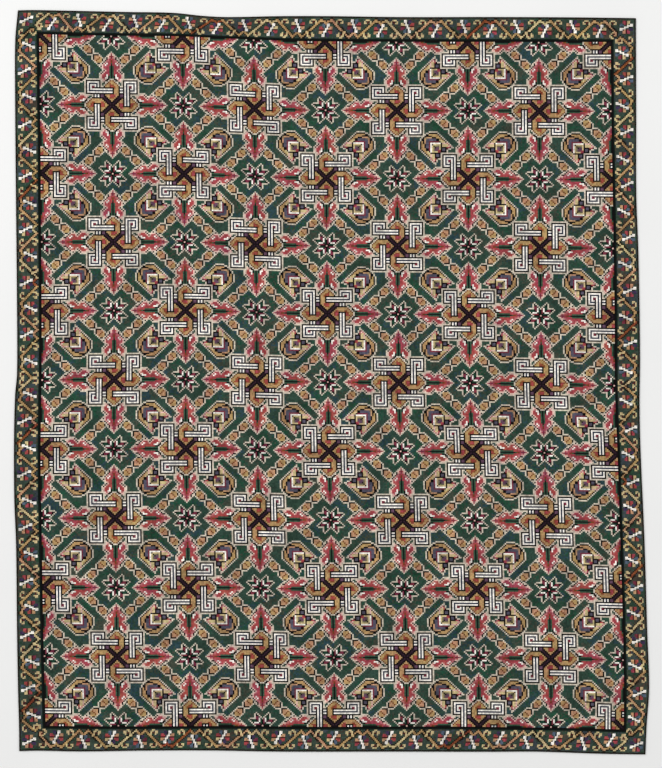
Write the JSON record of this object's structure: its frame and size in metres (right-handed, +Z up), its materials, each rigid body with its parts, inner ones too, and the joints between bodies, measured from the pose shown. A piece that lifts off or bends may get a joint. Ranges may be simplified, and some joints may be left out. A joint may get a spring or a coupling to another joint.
{
  "type": "embroidered bedspread",
  "caption": "Flat embroidered bedspread with a repeating field of knots, palmettes and stars and a vine and flower border.",
  "frame": {"origin": "centre of the cloth's underside, on the surface that it lies on", "axes": "+X across the cloth, +Y along its length to the top edge, +Z up through its thickness"},
  "size_m": [1.8728, 2.194, 0.0038],
  "materials": {
    "wool_embroidery": "matt wool stitches, green ground with gold, red, blue and off-white motifs"
  },
  "bodies": {
    "root": {"bedspread": "wool_embroidery"}
  },
  "joints": []
}
